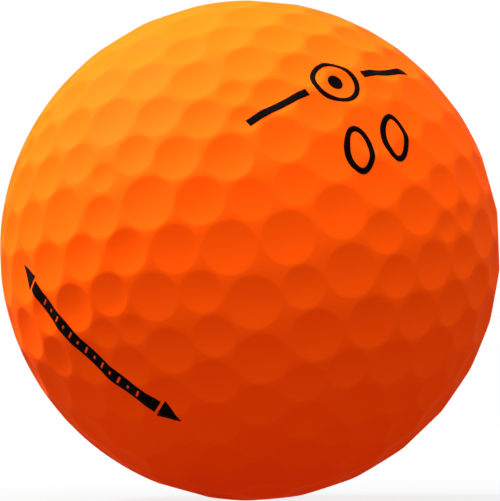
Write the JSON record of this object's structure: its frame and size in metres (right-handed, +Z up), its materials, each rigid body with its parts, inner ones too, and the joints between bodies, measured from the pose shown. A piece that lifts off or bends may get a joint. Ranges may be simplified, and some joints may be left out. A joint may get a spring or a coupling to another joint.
{
  "type": "golf ball",
  "caption": "Dimpled ball with a moulded cover over a solid rubber core, printed with a plain number, a sight line and a double-ended arrow.",
  "frame": {"origin": "centre of the ball", "axes": "+Z up as the ball lies, -Y towards the side that shows the printing, +X to that side's right"},
  "size_m": [0.0426, 0.0426, 0.0426],
  "materials": {
    "core_rubber": "matte moulded rubber",
    "cover": "matte orange ionomer with a soft-touch clear coat",
    "ink": "black pad-printed ink"
  },
  "bodies": {
    "root": {"core": "core_rubber", "cover": "cover", "number_zero_left": "ink", "number_zero_right": "ink", "sight_line_left": "ink", "sight_line_ring": "ink", "sight_line_dot": "ink", "sight_line_right": "ink", "arrow_bar": "ink", "arrow_head_upper": "ink", "arrow_head_lower": "ink"}
  },
  "joints": []
}
